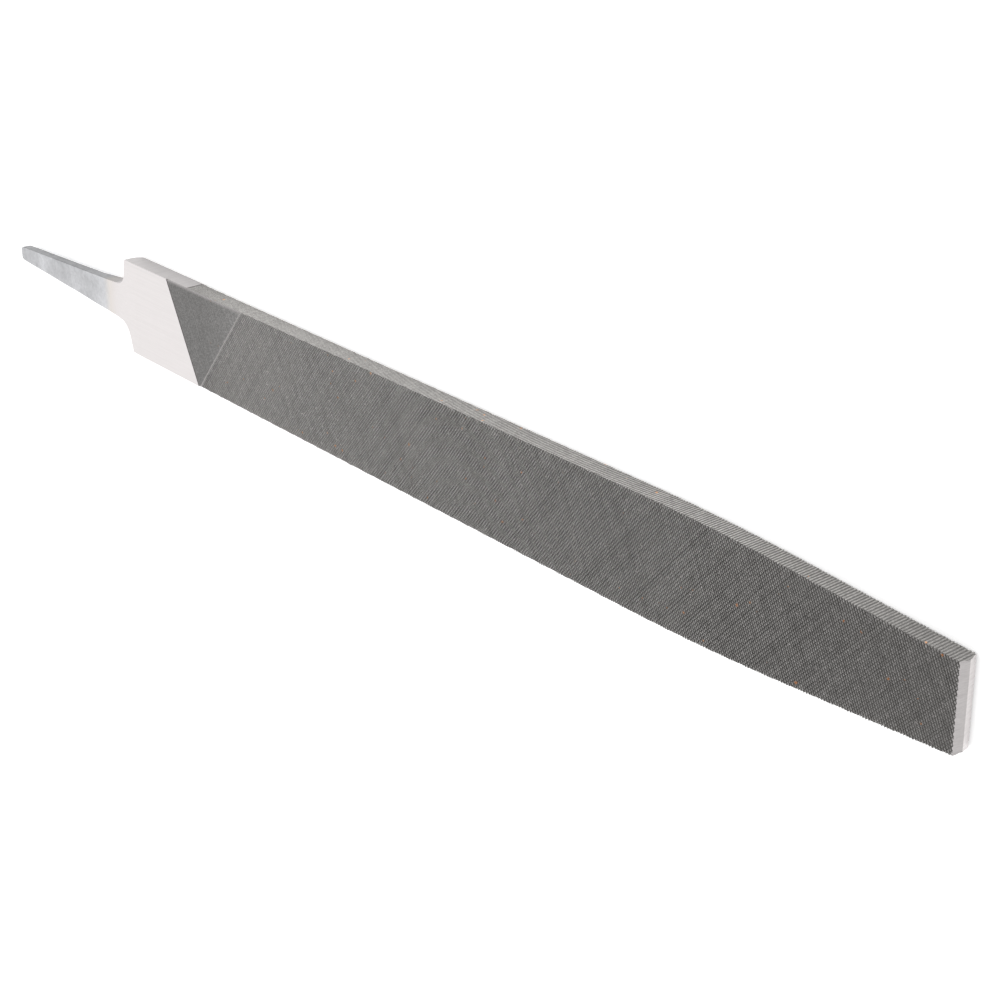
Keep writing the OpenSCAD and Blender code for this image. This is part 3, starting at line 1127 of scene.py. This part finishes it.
def cut_steel(name, which, base, painted_gullet_shade, painted_tip_highlight, seed, fade=1.0, grain=(0.35, 0.4), end=0.52):
    """Toothed steel: painted shade in the gullets, painted highlights at the tips, duller towards
    the point.

    Which names the mask of the depth group that is used. The painted gullet shade, the painted tip
    highlight and end say how bright the gullets, the tips and the point are, fade how much light
    the point keeps, and grain how large and how strong the grit is.
    """
    material, t, shader = new_steel(name)
    s = sizes()
    in_face = which == "In face"
    taper = {label.replace(" ", "_"): value for label, value in taper_values().items()}
    place = group_in(t, kept_group("Depth in the cut", cut_depth_group), **taper,
                     Depth=s.tooth_depth * 1.2 if in_face else s.edge_depth * 1.1,
                     Thinning=thinning())
    depth = place[which]
    cloud = patches(t, 14.0, seed, 1.8)
    grit = patches(t, grain[0], seed + 3, 2.6)
    x = t.split(t.place())[0]
    # Painted shade darkens the gullets and a painted highlight lightens the tips of the teeth.
    tone = layered(t, base, base, (
        (between(t, depth, 0.46, 0.84), painted_gullet_shade),
        (between(t, depth, 0.1, 0.5, 1.0, 0.0), painted_tip_highlight),
        (between(t, x, taper_start_x() + 20 * MM, RIDGE_X, 0.0, 0.65), end),
        (t.mul(cloud, 0.25), 0.7),
        (between(t, grit, 0.3, 0.7, 0.0, grain[1]), 0.35)))
    # Painted highlight specks on the steel, partly standing for dust.
    painted_glints_and_dust = t.mul(spots(t, 0.8, 0.22, 0.25), 0.7 if in_face else 0.2)
    tone = blend(t, painted_glints_and_dust, tone, tuple(colours().ground))
    start = between(t, x, EDGE_CUT_X + 6 * MM, EDGE_CUT_X + 24 * MM, 0.2, 0.0)
    tone = blend(t, start, tone, darker(base, 0.2))
    if in_face:
        # Painted highlight: the tooth tips near the rim and the line where the overcut starts are
        # lightened and made less metallic, for light caught by burrs there.
        painted_rim_highlight = t.mul(place["At rim"], between(t, depth, 0.2, 0.6, 1.0, 0.0))
        burr = t.mul(painted_rim_highlight, between(t, grit, 0.3, 0.7, 1.0, 0.3))
        burr = t.math("MAXIMUM", burr, painted_overcut_start_highlight(t))
        tone = blend(t, burr, tone, tuple(colours().ground))
        t.put(shader["Metallic"], t.sub(1.0, t.mul(burr, 0.75)))
    dulled = between(t, x, OVERCUT_TOP_X, RIDGE_X, 0.0, 1.0 - fade)
    tone = blend(t, dulled, tone, (0.02, 0.02, 0.02))
    t.put(shader["Base Color"], rust_over(t, tone, 3.6, 0.34, 0.7))
    t.put(shader["Roughness"], between(t, grit, 0.0, 1.0, 0.34, 0.5))
    raise_up(t, shader, grit, 0.01 * MM)
    return material


FINISHES = {
    "bright_steel": ground_steel,
    # A darker copy of the ground steel with crosswise lines: painted shade on upright sides.
    "ground_edge_steel": lambda name: ground_steel(
        name, tint=0.53, scale=(5000, 5000, 120), seed=5.0, marks=0.12),
    # The point's steel above mid thickness carries painted shade.
    "ground_point_steel": lambda name: ground_steel(
        name, tint=0.9, scale=(2000, 5000, 300), seed=8.0, above=0.53, marks=0.2),
    "forged_steel": forged_steel,
    # A darker copy of the forged steel: painted shade on the tang's sides.
    "forged_side_steel": lambda name: forged_steel(name, tint=0.46),
    # The cut steels carry painted shade in their gullets and painted highlights on their tips.
    "cut_face_steel": lambda name: cut_steel(
        name, "In face", colours().cut_face, painted_gullet_shade=0.13, painted_tip_highlight=1.3, seed=11.0, fade=0.74,
        grain=(0.6, 0.48)),
    "single_cut_steel": lambda name: cut_steel(
        name, "In face", darker(colours().cut_face, 0.77), painted_gullet_shade=0.17, painted_tip_highlight=1.5, seed=15.0),
    # Darker base than the faces: painted shade on the upright edges.
    "cut_edge_steel": lambda name: cut_steel(
        name, "In edge", colours().cut_edge, painted_gullet_shade=0.3, painted_tip_highlight=1.9, seed=23.0, fade=0.85, end=0.8),
}


def steel(name):
    return bpy.data.materials.get(name) or FINISHES[name](name)


def dress(name, *finishes):
    """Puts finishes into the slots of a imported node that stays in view."""
    node = bpy.data.objects[name]
    for slot, finish in zip(node.material_slots, finishes):
        slot.material = finish


# ---------------------------------------------------------------- operators

class AddStage(bpy.types.Operator):
    """Adds the pale floor, the soft studio light and the camera"""

    bl_idname = "flat_file.add_stage"
    bl_label = "Add stage"

    def execute(self, context):
        scene = context.scene
        scene.view_settings.view_transform = "Standard"
        self.floor()
        self.world(scene)
        self.softbox("Softbox overhead", place=(-0.1, 0.0, 2.2), aim=(0, 0, 0), size=3.0, power=12)
        self.camera(scene)
        return {"FINISHED"}

    def floor(self):
        bm = bmesh.new()
        bmesh.ops.create_grid(bm, x_segments=1, y_segments=1, size=150.0)
        floor = new_object("studio_floor", mesh_from(bm, "studio_floor"))
        material = bpy.data.materials.new("floor_paper")
        material.use_nodes = True
        shader = material.node_tree.nodes["Principled BSDF"].inputs
        for label, value in {
                "Base Color": (0.93, 0.93, 0.93, 1), "Roughness": 0.9, "Specular IOR Level": 0.1,
                "Emission Color": (1, 1, 1, 1), "Emission Strength": 0.45}.items():
            shader[label].default_value = value
        floor.data.materials.append(material)

    def world(self, scene):
        scene.world = bpy.data.worlds.new("Studio")
        scene.world.use_nodes = True
        t = Tree(scene.world.node_tree)
        sky = scene.world.node_tree.nodes["Background"].inputs
        sky["Color"].default_value = (1, 1, 1, 1)
        way = t.node("ShaderNodeTexCoord", out="Generated")
        front = t.dot(way, (0.87, 0.5, 0.0))
        seen = t.node("ShaderNodeLightPath", out="Is Camera Ray")
        t.put(sky["Strength"], t.math("MAXIMUM", seen, between(t, front, -0.3, 0.7, 1.06, 0.4)))

    def softbox(self, name, place, aim, size, power):
        lamp = bpy.data.lights.new(name, "AREA")
        lamp.shape = "DISK"
        lamp.size = size
        lamp.energy = power
        light = bpy.data.objects.new(name, lamp)
        bpy.context.collection.objects.link(light)
        light.location = place
        light.visible_glossy = False
        away = Vector(place) - Vector(aim)
        light.rotation_euler = away.to_track_quat("Z", "Y").to_euler()

    def camera(self, scene):
        aim = Vector((0.05404, -0.00494, 0.0027))
        back = Vector((0.71842, 0.41192, 0.56053)).normalized()
        distance = 0.4323
        across = Vector((-back.y, back.x, 0)).normalized()
        up = back.cross(across)
        level = Matrix((across, up, back)).transposed()
        tilt = Matrix.Rotation(math.radians(-109.24), 3, "Z")
        lens = bpy.data.cameras.new("Camera")
        lens.lens = 68.6
        lens.sensor_width = 36
        lens.clip_start = 0.01
        camera = bpy.data.objects.new("Camera", lens)
        bpy.context.collection.objects.link(camera)
        camera.matrix_world = Matrix.Translation(aim + back * distance) @ (level @ tilt).to_4x4()
        scene.camera = camera


class AddTang(bpy.types.Operator):
    """Forges the tapered tang with its rounded lower edges"""

    bl_idname = "flat_file.add_tang"
    bl_label = "Add tang"

    def execute(self, context):
        piece = new_object("forged_tang", tang_mesh())
        piece.data.materials.append(steel("forged_steel"))
        piece.data.materials.append(steel("forged_side_steel"))
        check_size(piece, "tang")
        stand_for(piece, "forged_tang", "tang")
        return {"FINISHED"}


class AddHeel(bpy.types.Operator):
    """Grinds the heel and rolls over the lower edges of its shoulders"""

    bl_idname = "flat_file.add_heel"
    bl_label = "Add heel"

    def execute(self, context):
        piece = new_object("ground_heel", heel_mesh())
        piece.data.materials.append(steel("bright_steel"))
        piece.data.materials.append(steel("ground_edge_steel"))
        check_size(piece, "heel")
        stand_for(piece, "ground_steel", "heel")
        return {"FINISHED"}


class DressCore(bpy.types.Operator):
    """Gives the inside of the blade and its ground point their finish"""

    bl_idname = "flat_file.dress_core"
    bl_label = "Dress core and point"

    def execute(self, context):
        dress("blade_core", steel("bright_steel"))
        dress("point", steel("ground_point_steel"))
        return {"FINISHED"}


class AddLeadIns(bpy.types.Operator):
    """Cuts the single-cut corners where the upcut starts, on both faces"""

    bl_idname = "flat_file.add_lead_ins"
    bl_label = "Add lead-ins"

    def execute(self, context):
        outline = lead_in_outline(steel("ground_edge_steel"))
        toothed_pair(("upper_single_cut", "lower_single_cut"), ("upper_lead_in", "lower_lead_in"),
                     "single_cut_steel", outline, lead_in_tree(), single_cut_values(), (1.0, 6.0))
        return {"FINISHED"}


class AddFaces(bpy.types.Operator):
    """Cuts the crossed teeth of both faces"""

    bl_idname = "flat_file.add_faces"
    bl_label = "Add double-cut faces"

    def execute(self, context):
        tooth = tooth_patch()
        outline = face_outline(steel("ground_point_steel"))
        toothed_pair(("upper_teeth", "lower_teeth"), ("upper_face_cut", "lower_face_cut"),
                     "cut_face_steel", outline, double_cut_tree(), double_cut_values(tooth),
                     (2.0, 7.0))
        remove(tooth)
        return {"FINISHED"}


class AddEdges(bpy.types.Operator):
    """Cuts the teeth straight across both edges"""

    bl_idname = "flat_file.add_edges"
    bl_label = "Add cut edges"

    def execute(self, context):
        sides = side_slabs()
        outline = edge_outline(steel("ground_point_steel"))
        tree = common_tree()
        finishes = [steel("cut_edge_steel"), steel("ground_point_steel")]
        for side, name, node in zip(sides, ("left_teeth", "right_teeth"),
                                    ("left_edge_cut", "right_edge_cut")):
            piece = grown(name, tree, {"Side": side, "Outline": outline, "Material": finishes[0]})
            settle_finishes(piece.data, finishes)
            check_size(piece, node)
            stand_for(piece, "cut_edge", node)
            turn_over(outline.data)
        for helper in (*sides, outline):
            remove(helper)
        return {"FINISHED"}


class FilePanel(bpy.types.Panel):
    """Lists the steps that build the file"""

    bl_label = "Flat file"
    bl_idname = "VIEW3D_PT_flat_file"
    bl_space_type = "VIEW_3D"
    bl_region_type = "UI"
    bl_category = "Flat file"

    def draw(self, context):
        for settings in (context.scene.file_sizes, context.scene.file_colours):
            box = self.layout.box()
            for name in settings.bl_rna.properties.keys():
                if name not in {"rna_type", "name"}:
                    box.prop(settings, name)
        for step in STEPS:
            self.layout.operator(step.bl_idname)


STEPS = (AddStage, AddTang, AddHeel, DressCore, AddLeadIns, AddFaces, AddEdges)
CLASSES = (FileSizes, FileColours, *STEPS, FilePanel)


def register():
    for kind in CLASSES:
        bpy.utils.register_class(kind)
    bpy.types.Scene.file_sizes = bpy.props.PointerProperty(type=FileSizes)
    bpy.types.Scene.file_colours = bpy.props.PointerProperty(type=FileColours)


def unregister():
    del bpy.types.Scene.file_colours
    del bpy.types.Scene.file_sizes
    for kind in reversed(CLASSES):
        bpy.utils.unregister_class(kind)


def main():
    register()
    for step in STEPS:
        group, name = step.bl_idname.split(".")
        getattr(getattr(bpy.ops, group), name)()


if __name__ == "__main__":
    main()
